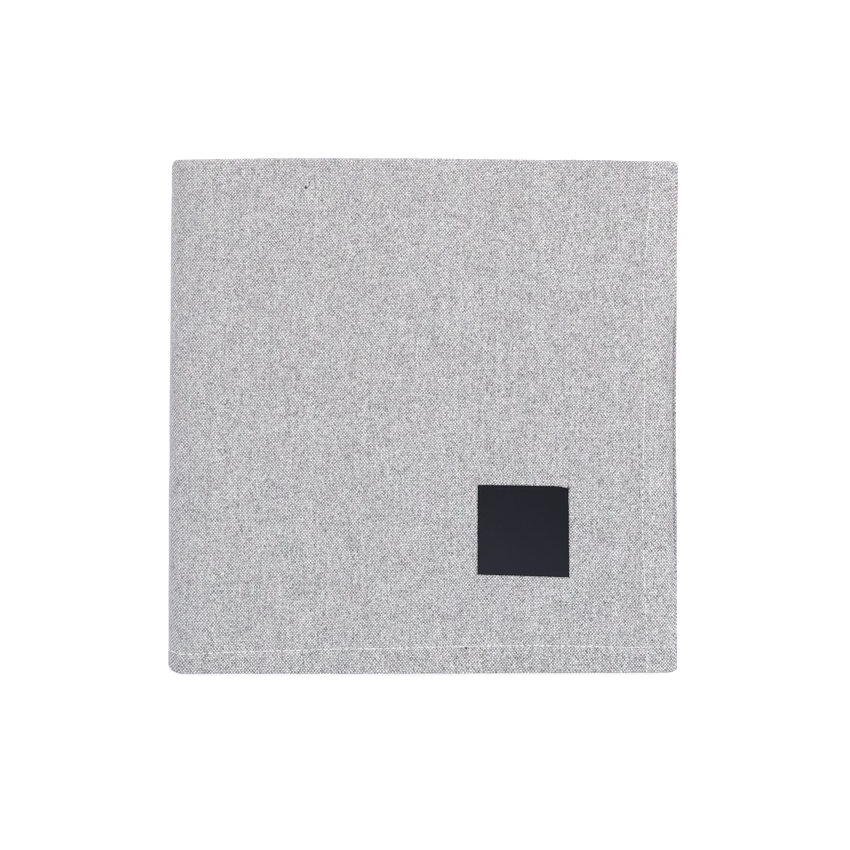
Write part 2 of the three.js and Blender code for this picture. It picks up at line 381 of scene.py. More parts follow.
def buckle_height(across, down):
    height = np.zeros(np.broadcast_shapes(np.shape(across), np.shape(down)))
    for buckle, length, turned, phase in BUCKLES:
        cosine = math.cos(math.radians(turned))
        sine = math.sin(math.radians(turned))
        along = across * cosine + down * sine
        beside = down * cosine - across * sine
        bend = BUCKLE_BEND * np.sin(2 * math.pi * beside / BUCKLE_BEND_LENGTH)
        height = height + buckle * np.sin(2 * math.pi * along / length + bend + phase)
    return height


def face_relief(across, down):
    """How far the face side stands above the plain sheet."""
    beyond_front = down - front_row_depth(across)
    beyond_side = across - side_row_depth(down)
    plies = np.zeros(np.broadcast_shapes(np.shape(across), np.shape(down)))
    trough = plies
    turn_start = HEM_TURN_BEYOND_ROW - HEM_TURN_BLEND / 2
    turn_end = HEM_TURN_BEYOND_ROW + HEM_TURN_BLEND / 2
    for beyond in (beyond_front, beyond_side):
        plies = np.maximum(plies, 1 - smoothstep(turn_start, turn_end, beyond))
        trough = np.maximum(trough, np.exp(-(beyond / ROW_TROUGH_REACH) ** 2))
    on_top = top_share(across, down)
    return on_top * (HEM_PLIES_HEIGHT * plies + buckle_height(across, down)) - ROW_TROUGH_DEPTH * trough


def hem_lift(across, down):
    """How far both sides of the sheet are raised at the side hem."""
    lift = SIDE_HEM_LIFT
    rise = smoothstep(lift["from"], lift["from"] + lift["blend"], down)
    fall = smoothstep(lift["to"] - lift["blend"], lift["to"], down)
    return lift["height"] * rise * (1 - fall) * np.exp(-(across / lift["reach"]) ** 2)


def surface_point(across, down, lift=0.0):
    """A point above the face side, at the given lift."""
    raised = face_relief(across, down) + hem_lift(across, down)
    return cloth_point(across, down, CLOTH_THICKNESS / 2 + raised + lift)


# -------------------- meshes


def make_object(name, points, faces, material, maps=None, numbers=None):
    """A smooth-shaded piece from points in millimetres. 'maps' holds UV pairs, one for each corner of each
    face, and 'numbers' holds one number for each point."""
    mesh = bpy.data.meshes.new(name)
    mesh.from_pydata((np.asarray(points) * METRES).tolist(), [], [list(face) for face in faces])
    mesh.shade_smooth()
    for map_name, pairs in (maps or {}).items():
        layer = mesh.uv_layers.new(name=map_name)
        layer.data.foreach_set("uv", np.asarray(pairs, dtype=np.float32).ravel())
    for number_name, values in (numbers or {}).items():
        attribute = mesh.attributes.new(number_name, "FLOAT", "POINT")
        attribute.data.foreach_set("value", np.asarray(values, dtype=np.float32))
    mesh.materials.append(material)
    piece = bpy.data.objects.new(name, mesh)
    bpy.context.scene.collection.objects.link(piece)
    return piece


def sheet_faces(columns, rows):
    """The faces of a closed sheet: a face side, a back side, and a rim round all four edges."""
    grid = np.arange(columns * rows).reshape(columns, rows)
    face_side = np.stack([grid[:-1, :-1], grid[:-1, 1:], grid[1:, 1:], grid[1:, :-1]], axis=-1).reshape(-1, 4)
    back_side = face_side[:, ::-1] + columns * rows
    rim = np.concatenate([grid[:, 0], grid[-1, 1:], grid[-2::-1, -1], grid[0, -2:0:-1]])
    following = np.roll(rim, -1)
    rim_side = np.stack([rim, following, following + columns * rows, rim + columns * rows], axis=-1)
    return np.concatenate([face_side, back_side, rim_side])


STEEP = 0.2  # the sine of the angle to the vertical under which a thread counts as upright


def tube(points, radii, sides, flatten=1.0):
    """A closed thread along these points. 'flatten' is its height as a share of its width."""
    points = np.asarray(points, float)
    heading = np.gradient(points, axis=0)
    heading /= np.linalg.norm(heading, axis=1, keepdims=True)
    side = np.cross(heading, [0.0, 0.0, 1.0])
    # Where it runs nearly straight up or down, its side is simply X.
    lengths = np.linalg.norm(side, axis=1, keepdims=True)
    side = np.where(lengths > STEEP, side / np.maximum(lengths, STEEP), [1.0, 0.0, 0.0])
    up = np.cross(side, heading)
    up /= np.linalg.norm(up, axis=1, keepdims=True)
    angles = np.linspace(0, 2 * math.pi, sides, endpoint=False)
    ring = (np.cos(angles)[None, :, None] * side[:, None, :]
            + flatten * np.sin(angles)[None, :, None] * up[:, None, :])
    vertices = points[:, None, :] + np.asarray(radii)[:, None, None] * ring
    count = len(points)
    index = np.arange(count * sides).reshape(count, sides)
    wrapped = np.roll(index, -1, axis=1)
    faces = np.stack([index[:-1], wrapped[:-1], wrapped[1:], index[1:]], axis=-1).reshape(-1, 4).tolist()
    faces.append(index[0][::-1].tolist())
    faces.append(index[-1].tolist())
    return vertices.reshape(-1, 3), faces


def make_threads(name, parts, material):
    """One piece from the points and faces of several threads."""
    points = []
    faces = []
    count = 0
    for part_points, part_faces in parts:
        points.append(part_points)
        faces.extend([[corner + count for corner in face] for face in part_faces])
        count += len(part_points)
    return make_object(name, np.concatenate(points), faces, material)


# -------------------- the cloth

HEM_EDGE_ANGLES = [10, 30, 52, 74, 90]  # round the turned edge of a hem, up to where the cloth is full
HEM_EDGE_RADIUS = CLOTH_THICKNESS / 2
# Painted shade: the rounded edges of the hems are drawn darker, and so is the crevice inside the side hem of
# the layers below the top one.
HEM_RIM_PAINTED_SHADE = 0.35
HEM_INSIDE_PAINTED_SHADE = 0.4
HEM_INSIDE_FROM_TO = (0.5, 2.6)  # where the painted shade inside a hem sets in, and where it fades
HEM_INSIDE_FADE = (7.0, 14.0)
ROW_DISTANCE_LIMIT = 12.0  # distances to a row of stitches are kept up to this
HIDDEN_REPEATS = 6  # how many repeats of the weave's map lie between the face side and the back side
SIDE_FOLD_CELLS = {0.5: 12, 1.5: 22}  # the cells round a turn, by its radius in pitches
BACK_FOLD_CELLS = {0.5: 6, 1.5: 10}
# Up to each distance from the start of a panel, the size of the cells.
TOP_SPACING = [(11.0, 2.3), (26.0, 0.75), (60.0, 3.4), (math.inf, 5.4)]
HIDDEN_SPACING = [(5.0, 4.0), (26.0, 7.0), (math.inf, 17.0)]


def spaced(start, end, spacing):
    """Distances from start to end, in steps that depend on how far they have come."""
    stops = [start]
    for reach, step in spacing:
        band_end = min(start + reach, end)
        count = math.ceil((band_end - stops[-1]) / step)
        if count > 0:
            stops.extend(np.linspace(stops[-1], band_end, count + 1)[1:])
    return stops


def round_edge(degrees, reach):
    """The distances from a sheet's edge at which its round edge is cut, and how full the sheet is there."""
    angles = np.radians(degrees)
    return reach * (np.cos(angles[0]) - np.cos(angles)), np.sin(angles)


def strip_stops(fold, turn_cells):
    """The flat distances at which a strip is cut into cells."""
    edge, _ = round_edge(HEM_EDGE_ANGLES, HEM_EDGE_RADIUS)
    stops = list(edge)
    for index, stretch in enumerate(fold["stretches"]):
        start = max(stretch["flat_start"], edge[-1])
        end = min(stretch["flat_end"], fold["length"] - edge[-1])
        if stretch["kind"] == "turn":
            stops.extend(np.linspace(start, end, turn_cells[stretch["radius"]] + 1)[1:])
        else:
            ascending = spaced(0, end - start, TOP_SPACING if index == 0 else HIDDEN_SPACING)
            mirrored = index == len(fold["stretches"]) - 1
            steps = np.diff(ascending)[::-1] if mirrored else np.diff(ascending)
            stops.extend(start + np.cumsum(steps))
    stops.extend(fold["length"] - edge[::-1][1:])
    return np.array(stops)


def fullness(stops, length):
    """The share of the cloth's thickness at each stop: it rounds off at the hem's edges."""
    distances, shares = round_edge(HEM_EDGE_ANGLES, HEM_EDGE_RADIUS)
    return np.interp(np.minimum(stops, length - stops), distances, shares)


def cloth_map(across, down):
    """The weave's map: a UV pair for each corner of the cloth's faces, in their order. It repeats, and only
    the face side of the top layer and of the folds beside it lies within one repeat."""
    unmoved = {"shut": 0.0, "open": 0.0, "free": 0.0}
    _, layer_level = fold_point(front_to_back, down, CLOTH_THICKNESS / 2, unmoved)
    in_layers = np.array([cell_distances(side_to_side, across, level) for level in layer_level])
    u_starts, u_ends = (1 - (in_layers + WEAVE_MARGIN) / WEAVE_TILE).transpose(1, 2, 0)
    down_strip = np.array(cell_distances(front_to_back, down, CLOTH_THICKNESS / 2))
    v_shape = (2, len(across) - 1, len(down) - 1)
    v_starts, v_ends = np.broadcast_to((down_strip[:, None] + WEAVE_MARGIN) / WEAVE_TILE, v_shape)
    u = np.stack([u_starts[:, :-1], u_starts[:, 1:], u_ends[:, 1:], u_ends[:, :-1]], axis=-1)
    v = np.stack([v_starts, v_ends, v_ends, v_starts], axis=-1)
    face_side = np.stack([u, v], axis=-1).reshape(-1, 4, 2)
    back_side = face_side[:, ::-1] + HIDDEN_REPEATS
    rim_cells = 2 * (len(across) + len(down) - 2)
    rim_side = np.broadcast_to(face_side[:1] + 2 * HIDDEN_REPEATS, (rim_cells, 4, 2))
    return np.concatenate([face_side, back_side, rim_side])


def hem_painted_shade(across, down, full):
    """The painted shade on the cloth: how much darker it is drawn round the rounded edges of its hems, and
    inside the side hem of the layers below the top one, where shade falls under the top layer's edge."""
    back_turn = front_to_back["stretches"][1]
    below_top = smoothstep(back_turn["flat_start"], back_turn["flat_end"], down)
    inside = smoothstep(*HEM_INSIDE_FROM_TO, across) * (1 - smoothstep(*HEM_INSIDE_FADE, across))
    return HEM_RIM_PAINTED_SHADE * (1 - full) + HEM_INSIDE_PAINTED_SHADE * inside * below_top


def make_cloth(material):
    across = strip_stops(side_to_side, SIDE_FOLD_CELLS)[:, None]
    down = strip_stops(front_to_back, BACK_FOLD_CELLS)[None, :]
    full = fullness(across, side_to_side["length"]) * fullness(down, front_to_back["length"])
    half = CLOTH_THICKNESS / 2
    lift = hem_lift(across, down)
    face_side = cloth_point(across, down, (half + face_relief(across, down)) * full + lift)
    back_side = cloth_point(across, down, -half * full + lift)
    columns, rows = face_side.shape[:2]
    points = np.concatenate([face_side.reshape(-1, 3), back_side.reshape(-1, 3)])

    limit = ROW_DISTANCE_LIMIT
    beyond_front = np.clip(down - front_row_depth(across), -limit, limit)
    beyond_side = np.clip(across - side_row_depth(down), -limit, limit)
    return make_object(
        "cloth_folded", points, sheet_faces(columns, rows), material,
        maps={"OFBake": cloth_map(across[:, 0], down[0])},
        numbers={
            "beyond_front_row": np.tile(beyond_front.ravel(), 2),
            "beyond_side_row": np.tile(beyond_side.ravel(), 2),
            # the painted shade round the hem edges and inside the lower layers' side hems
            "hem_painted_shade": np.tile(hem_painted_shade(across, down, full).ravel(), 2),
        },
    )


# -------------------- the stitches

STITCH_POINTS = 9
STITCH_SIDES = 8
STITCH_ARCH_POWER = 0.55
STITCH_SINK = 0.55  # how far a stitch's ends lie below the surface, as a share of its radius
THREAD_FLATNESS = 0.8  # a pressed thread's height as a share of its width
THREAD_END = 0.5  # the share of its thickness that a thread keeps at its ends
STITCH_JITTER_ALONG = 0.03  # how unevenly the stitches are sewn, as a share of the pitch
STITCH_JITTER_SIDEWAYS = 0.12  # as a share of the thread's radius
STITCH_JITTER_RADIUS = 0.06


def stitch(start, end, path, radius, rise, sideways):
    """One stitch that dives into the cloth at both ends. 'path' gives the flat coordinates at a distance."""
    share = np.linspace(0, 1, STITCH_POINTS)
    arch = np.sin(math.pi * share) ** STITCH_ARCH_POWER
    across, down = path(start + (end - start) * share, sideways * np.sin(math.pi * share))
    centre = surface_point(across, down, rise * arch - STITCH_SINK * radius)
    thickness = radius * (THREAD_END + (1 - THREAD_END) * arch)
    return tube(centre, thickness, STITCH_SIDES, THREAD_FLATNESS)


def stitch_row(first, last, path, radius, rise):
    parts = []
    gap = STITCH_PITCH * (1 - STITCH_VISIBLE) / 2
    for hole in np.arange(first, last, STITCH_PITCH):
        jitter = random.normal(0, STITCH_JITTER_ALONG, 2) * STITCH_PITCH
        sideways = random.normal(0, STITCH_JITTER_SIDEWAYS) * radius
        size = radius * (1 + random.normal(0, STITCH_JITTER_RADIUS))
        start = hole + gap + jitter[0]
        end = hole + STITCH_PITCH - gap + jitter[1]
        parts.append(stitch(start, end, path, size, rise, sideways))
    return parts


def front_row_path(distance, sideways):
    return distance, front_row_depth(distance) + sideways


def side_row_path(distance, sideways):
    return side_row_depth(distance) + sideways, distance


def make_hem_stitches(material):
    # The front row runs round the thick fold, along the underside and into the fold on the right. The side
    # row runs over the back crease.
    under_turn = side_to_side["stretches"][3]
    back_turn = front_to_back["stretches"][1]
    front_end = (under_turn["flat_start"] + under_turn["flat_end"]) / 2
    side_end = back_turn["flat_end"]
    side_radius = THREAD_RADIUS * SIDE_ROW_THREAD
    side_rise = STITCH_RISE * SIDE_ROW_RISE
    parts = stitch_row(ROW_START, front_end, front_row_path, THREAD_RADIUS, STITCH_RISE)
    parts += stitch_row(ROW_START, side_end, side_row_path, side_radius, side_rise)
    return make_threads("hem_stitches", parts, material)


# -------------------- the label

LABEL_COLUMNS = 72
LABEL_ROWS = 72
LABEL_EDGE_ANGLES = [8, 26, 46, 68, 90]  # round its folded edge
LABEL_EDGE_REACH = 0.55
LABEL_REST = 0.12  # how far its underside stands off the cloth
LABEL_PILLOW = {"height": 0.35, "reach": 9.0}  # how it rises inside its seam
LABEL_SEAM = {"depth": 0.16, "reach": 0.9}
LABEL_RIPPLE = {"height": 0.05, "across": 9.1, "across_phase": 1.3, "back": 7.7, "back_phase": 0.4}
LABEL_CURL = {"height": 0.25, "from": 0.93}  # its back right corner, from this share of each side on
LABEL_WAVER = 0.1  # how far its cut edges waver, and how far in from the edge
LABEL_WAVER_REACH = 1.2
LABEL_WAVER_FREQUENCIES = (2.9, 5.3)
LABEL_WAVER_SECOND = 0.7  # the second frequency's share
LABEL_STITCH_POINTS = 7
LABEL_STITCH_SIDES = 6
LABEL_STITCH_PITCH = 2.3
LABEL_STITCH_VISIBLE = 0.76
LABEL_STITCH_RADIUS = 0.17
LABEL_STITCH_ARCH_POWER = 0.6
LABEL_STITCH_RISE = 0.16
LABEL_STITCH_SINK = 0.1
LABEL_STITCH_JITTER = 0.03

# The loose threads at the label's corner: the degrees from the X axis, the length, and how high they arch.
LABEL_FRAY = [(20, 1.7, 0.25), (31, 2.6, 0.3), (40, 2.0, 0.45), (50, 2.3, 0.35), (63, 1.4, 0.3)]
FRAY_ROOT = 0.985  # the share of the label's width and depth at which the threads start
FRAY_SPACING = 0.37
FRAY_RADIUS = 0.17
FRAY_ROW_TURNED = 135  # which way the row of threads runs round the corner, in degrees
FRAY_BEND = 0.06  # in radians, for each thread away from the middle one
FRAY_LIFT = 0.7  # how high the threads start, as a share of the label's thickness
FRAY_TAPER = 0.45
FRAY_POINTS = 9
FRAY_SIDES = 6


def label_place(across_share, back_share):
    """Where a share of the label's width and depth lies, in x and y."""
    plan = []
    for axis in ("x", "y"):
        front = np.interp(across_share, LABEL_OUTLINE["share"], LABEL_OUTLINE["front_" + axis])
        back = np.interp(across_share, LABEL_OUTLINE["share"], LABEL_OUTLINE["back_" + axis])
        plan.append(front + (back - front) * back_share)
    return plan


def label_stops(size, count):
    """Shares across the label, with its round edges cut finely, and how full it is at each."""
    distances, edge_full = round_edge(LABEL_EDGE_ANGLES, LABEL_EDGE_REACH)
    edge = distances / size
    inner = np.linspace(edge[-1], 1 - edge[-1], count)[1:-1]
    stops = np.concatenate([edge, inner, 1 - edge[::-1]])
    full = np.concatenate([edge_full, np.ones(len(inner)), edge_full[::-1]])
    return stops, full


def edge_waver(distance, phase):
    slow, fast = LABEL_WAVER_FREQUENCIES
    fast_part = LABEL_WAVER_SECOND * np.sin(distance * fast + 2 * phase)
    return LABEL_WAVER * (np.sin(distance * slow + phase) + fast_part)


def label_edge_distances(across_share, back_share):
    """How far a place on the label lies from its nearer side, and from its nearer end."""
    from_side = np.minimum(across_share, 1 - across_share) * LABEL_WIDTH
    from_end = np.minimum(back_share, 1 - back_share) * LABEL_DEPTH
    return from_side, from_end


def label_lift(across_share, back_share):
    """The height of the middle of the label above the cloth. It is drawn down along its seam."""
    edge = np.minimum(*label_edge_distances(across_share, back_share))
    pillow_end = LABEL_SEAM_INSET + LABEL_PILLOW["reach"]
    pillow = LABEL_PILLOW["height"] * smoothstep(LABEL_SEAM_INSET, pillow_end, edge)
    seam = LABEL_SEAM["depth"] * np.exp(-((edge - LABEL_SEAM_INSET) / LABEL_SEAM["reach"]) ** 2)
    across_wave = np.sin(across_share * LABEL_RIPPLE["across"] + LABEL_RIPPLE["across_phase"])
    back_wave = np.sin(back_share * LABEL_RIPPLE["back"] + LABEL_RIPPLE["back_phase"])
    ripple = LABEL_RIPPLE["height"] * across_wave * back_wave
    curl_across = smoothstep(LABEL_CURL["from"], 1, across_share)
    curl_back = smoothstep(LABEL_CURL["from"], 1, back_share)
    curl = LABEL_CURL["height"] * curl_across * curl_back
    return LABEL_THICKNESS / 2 + LABEL_REST + pillow + ripple + curl - seam


def label_point(across_share, back_share, lift):
    x, y = label_place(across_share, back_share)
    across, down = flat_place(x, y)
    return surface_point(across, down, lift)


def make_label(material):
    across_stops, across_full = label_stops(LABEL_WIDTH, LABEL_COLUMNS)
    back_stops, back_full = label_stops(LABEL_DEPTH, LABEL_ROWS)
    across_share, back_share = np.meshgrid(across_stops, back_stops, indexing="ij")
    full = across_full[:, None] * back_full[None, :]
    lift = label_lift(across_share, back_share)
    half = LABEL_THICKNESS / 2
    top = label_point(across_share, back_share, lift + half * full)
    bottom = label_point(across_share, back_share, lift - half * full)

    # Its cut edges waver by a thread or so.
    from_side, from_end = label_edge_distances(across_share, back_share)
    near_side = np.exp(-from_side / LABEL_WAVER_REACH)
    near_end = np.exp(-from_end / LABEL_WAVER_REACH)
    waver_x = edge_waver(back_share * LABEL_DEPTH, 1.0) * near_side * np.sign(across_share - 0.5)
    waver_y = edge_waver(across_share * LABEL_WIDTH, 2.2) * near_end * np.sign(back_share - 0.5)
    for side in (top, bottom):
        side[..., 0] += waver_x
        side[..., 1] += waver_y

    # The sheet is cut from left to right and from front to back, so its faces are turned over.
    faces = sheet_faces(len(across_stops), len(back_stops))[:, ::-1]
    points = np.concatenate([top.reshape(-1, 3), bottom.reshape(-1, 3)])
    flat_map = np.tile(np.stack([across_share, back_share], axis=-1).reshape(-1, 2), (2, 1))
    return make_object("label_sheet", points, faces, material, maps={"Label": flat_map[faces]})


def seam_place(side, distance, sideways):
    """The shares of the label's width and depth at a distance along one side of its seam."""
    if side in ("front", "back"):
        inset = LABEL_SEAM_INSET / LABEL_DEPTH
        back_share = (inset if side == "front" else 1 - inset) + sideways / LABEL_DEPTH
        return distance / LABEL_WIDTH, back_share
    inset = LABEL_SEAM_INSET / LABEL_WIDTH
    across_share = (inset if side == "left" else 1 - inset) + sideways / LABEL_WIDTH
    return across_share, distance / LABEL_DEPTH


def make_label_stitches(material):
    parts = []
    visible = LABEL_STITCH_VISIBLE
    share = np.linspace(0, 1, LABEL_STITCH_POINTS)
    arch = np.sin(math.pi * share) ** LABEL_STITCH_ARCH_POWER
    thickness = LABEL_STITCH_RADIUS * (THREAD_END + (1 - THREAD_END) * arch)
    for side in ("front", "right", "back", "left"):
        size = LABEL_WIDTH if side in ("front", "back") else LABEL_DEPTH
        count = round((size - 2 * LABEL_SEAM_INSET) / LABEL_STITCH_PITCH)
        pitch = (size - 2 * LABEL_SEAM_INSET) / count
        for index in range(count):
            start = LABEL_SEAM_INSET + (index + (1 - visible) / 2) * pitch
            sideways = random.normal(0, LABEL_STITCH_JITTER) * arch
            across_share, back_share = seam_place(side, start + visible * pitch * share, sideways)
            lift = label_lift(across_share, back_share) + LABEL_THICKNESS / 2
            lift += LABEL_STITCH_RISE * arch - LABEL_STITCH_SINK
            centre = label_point(across_share, back_share, lift)
            parts.append(tube(centre, thickness, LABEL_STITCH_SIDES, THREAD_FLATNESS))
    return make_threads("label_stitches", parts, material)


def make_label_fray(material):
    """Loose thread ends at the label's back right corner, side by side and fanned out."""
    parts = []
    share = np.linspace(0, 1, FRAY_POINTS)
    corner_x, corner_y = label_place(FRAY_ROOT, FRAY_ROOT)
    row_turned = math.radians(FRAY_ROW_TURNED)
    thickness = FRAY_RADIUS * (1 - FRAY_TAPER * share)
    for index, (turned, length, arch) in enumerate(LABEL_FRAY):
        off_middle = index - (len(LABEL_FRAY) - 1) / 2
        heading = math.radians(turned) + off_middle * FRAY_BEND * share
        root_x = corner_x + off_middle * FRAY_SPACING * math.cos(row_turned)
        root_y = corner_y + off_middle * FRAY_SPACING * math.sin(row_turned)
        x = root_x + np.cumsum(np.cos(heading)) * length / FRAY_POINTS
        y = root_y + np.cumsum(np.sin(heading)) * length / FRAY_POINTS
        across, down = flat_place(x, y)
        lift = LABEL_THICKNESS * FRAY_LIFT + arch * np.sin(math.pi * share)
        parts.append(tube(surface_point(across, down, lift), thickness, FRAY_SIDES))
    return make_threads("label_fray", parts, material)


# -------------------- materials


class Wire:
    """A number that flows through a material's node tree, so that formulas read as formulas."""

    def __init__(self, socket):
        self.socket = socket
        self.tree = socket.id_data

    def math(self, operation, *others):
        return Wire(node_of("ShaderNodeMath", (self, *others), operation=operation).outputs[0])

    def __add__(self, other):
        return self.math("ADD", other)

    def __sub__(self, other):
        return self.math("SUBTRACT", other)

    def __rsub__(self, other):
        return self * -1.0 + other

    def __mul__(self, other):
        return self.math("MULTIPLY", other)

    def __truediv__(self, other):
        return self.math("DIVIDE", other)

    def ramp(self, low, high):
        """0 below low, 1 above high, and a smooth step between them."""
        node = node_of("ShaderNodeMapRange", (self, low, high), interpolation_type="SMOOTHSTEP")
        return Wire(node.outputs["Result"])


def connect(value, slot):
    if isinstance(value, Wire):
        value.tree.links.new(value.socket, slot)
    else:
        slot.default_value = value


def set_inputs(node, values):
    """Puts numbers and wires on a node's inputs, by name."""
    for name, value in values.items():
        connect(value, node.inputs[name])


def node_of(kind, values, **settings):
    """A node that takes these numbers and wires on its first inputs. At least one of them is a wire."""
    tree = next(value.tree for value in values if isinstance(value, Wire))
    node = tree.nodes.new(kind)
    for name, setting in settings.items():
        setattr(node, name, setting)
    for value, slot in zip(values, node.inputs):
        connect(value, slot)
    return node


def mixed(weights, **wires):
    """The weight called plain, plus these wires, each times the weight of its name."""
    total = weights["plain"]
    for name, wire in wires.items():
        total = wire * weights[name] + total
    return total


def between(first, second, share):
    return first + (second - first) * share


def vector(x, y, z=0.0):
    return Wire(node_of("ShaderNodeCombineXYZ", (x, y, z)).outputs[0])


def colour(red, green, blue):
    return Wire(node_of("ShaderNodeCombineColor", (red, green, blue)).outputs[0])


def noise(place, scale, detail=2.0, roughness=0.5):
    """Soft noise from about -1 to 1."""
    node = node_of("ShaderNodeTexNoise", (place,))
    set_inputs(node, {"Scale": scale, "Detail": detail, "Roughness": roughness})
    return Wire(node.outputs[0]) * 2.0 - 1.0


def scatter(x, y, seed):
    """A separate random number from -1 to 1 for each whole x and y."""
    node = node_of("ShaderNodeTexWhiteNoise", (vector(x, y, seed),), noise_dimensions="3D")
    return Wire(node.outputs["Value"]) * 2.0 - 1.0


def bump(height, distance):
    """A normal from a height that is 1 for each 'distance' in metres."""
    node = height.tree.nodes.new("ShaderNodeBump")
    set_inputs(node, {"Strength": 1.0, "Distance": distance, "Height": height})
    return Wire(node.outputs[0])


def attribute(tree, name):
    node = tree.nodes.new("ShaderNodeAttribute")
    node.attribute_name = name
    return Wire(node.outputs["Fac"])


def uv_pair(tree, map_name):
    node = tree.nodes.new("ShaderNodeUVMap")
    node.uv_map = map_name
    split = node_of("ShaderNodeSeparateXYZ", (Wire(node.outputs[0]),))
    return Wire(split.outputs[0]), Wire(split.outputs[1])


def object_place(tree):
    return Wire(tree.nodes.new("ShaderNodeTexCoord").outputs["Object"])


def new_material(name):
    material = bpy.data.materials.new(name)
    material.use_nodes = True
    tree = material.node_tree
    return material, tree, tree.nodes["Principled BSDF"]


# The canvas. Widths and heights of yarns are in yarns, and tones are shares of white. A noise's scale says
# how many of its patches lie side by side on one repeat of the weave's map. The last number that vector() and
# scatter() take is a seed, which only keeps one pattern unlike the next.
YARN_HALF_WIDTH = 0.49
YARN_SWING = 0.30  # how far a yarn rises and sinks as it passes over and under
YARN_ROUND = 0.42  # how high its back stands above its sides
DRIFT_SCALE = 9.0  # the yarns drift together, slowly
DRIFT_REACH = 0.7
DRIFT_OFFSET = 3.7  # keeps the drift of the second set unlike the first
WAVER_SCALE = 60.0  # and waver, quickly
WAVER_REACH = 0.2
SWAY_STEP = 0.91  # each also sways by itself: its rate from yarn to yarn and along the yarn
SWAY_ALONG = 0.3
SWAY_REACH = 0.3
SLUB_STEP = 0.73
SLUB_ALONG_WARP = 0.095
SLUB_ALONG_WEFT = 0.09
SLUB_DETAIL = (4.0, 0.65)  # the detail and roughness of a noise, here and below
GRAIN_FINENESS = 2.3  # tufts of fibre, finer than a yarn
LEAD = {"plain": 0.0, "warp_slub": 0.27, "weft_slub": -0.13, "crossing": 0.2, "grain": 0.2}
LEAD_SOFTNESS = 0.06  # how softly one yarn passes into the next
WARP_TONE = {"plain": 0.738, "own": 0.055, "slub": 0.185, "crossing": 0.07}
WEFT_TONE = {"plain": 0.276, "own": 0.02, "slub": 0.075, "crossing": 0.05}
GRAIN_TONE = 0.19
HOLLOW_SHADE = {"plain": 0.5, "height": 0.5, "weft": 0.22}  # painted shade: darker between the yarns and where they lie low
HOLLOW_SHADE_FROM_TO = (0.02, 0.5)

CLOUD_SCALE = 20.0
CLOUD_DETAIL = (5.0, 0.62)
CLOUD_TONE = 0.165
PATCH_SCALE = 30.0
CRISP = {"plain": 0.17, "patch": 0.26, "right": 0.04, "back": -0.05, "off_front_hem": -0.12}
MIDDLE_TONE = 0.5
TONE_BOW = 0.3  # how far the lightest and the darkest tones are both drawn down
TONE_LIFT = 0.0235
HEM_TONE_BLEND = 4.0
# Painted shade on the front hem and painted light on the side hem, as the light falls on them.
FRONT_HEM_PAINTED_SHADE = 0.988
SIDE_HEM_PAINTED_LIGHT = 1.035
NEP_CORE = 0.65  # the share of a nep's radius that is fully dark
COATED_SHADED_FOLD_FROM = 0.105  # where the painted shade and the filled weave along the thick fold start and are full, on the weave's map
COATED_SHADED_FOLD_TO = 0.03
COATED_SHADED_FOLD_TONE = 0.355
COATED_SHADED_FOLD_SHARE = 0.2

# Faint patches of hue: how narrow they are crosswise, their scale and their seed.
HUES = {"plum": (1.8, 18.0, 8.0), "pink": (1.6, 14.0, 2.0), "blue": (1.6, 12.0, 4.0)}
HUE_LENGTHWAYS = 0.8
HUE_DETAIL = (4.0, 0.6)
RED = {"plain": 0.995, "plum": 0.05, "cloud": -0.015, "pink": 0.04, "back": 0.016}
BLUE = {"plain": 1.025, "plum": 0.05, "cloud": -0.015, "blue": 0.04, "back": -0.014, "fold": 0.015}
RED_LEAST = 0.005
BLUE_LEAST = 0.011

PUCKER_REACH = 2.6
PUCKER_DEPTH = 0.25
FIBRES_ACROSS = 5.0
FIBRES_ALONG = 1.6
FIBRES_HEIGHT = 0.05
CANVAS_RELIEF = 0.0006  # the metres that a height of one yarn stands for
CANVAS_ROUGHNESS = {"plain": 0.86, "hollow": -0.3, "fibres": 0.04}
CANVAS_SURFACE = {"Specular IOR Level": 0.35, "Sheen Weight": 0.12, "Sheen Roughness": 0.5}


def yarn_back(off_middle):
    """How high the rounded back of a yarn stands, from the distance off its middle line."""
    share = off_middle / YARN_HALF_WIDTH
    return (1.0 - share * share).math("MAXIMUM", 0.0).math("SQRT") * YARN_ROUND


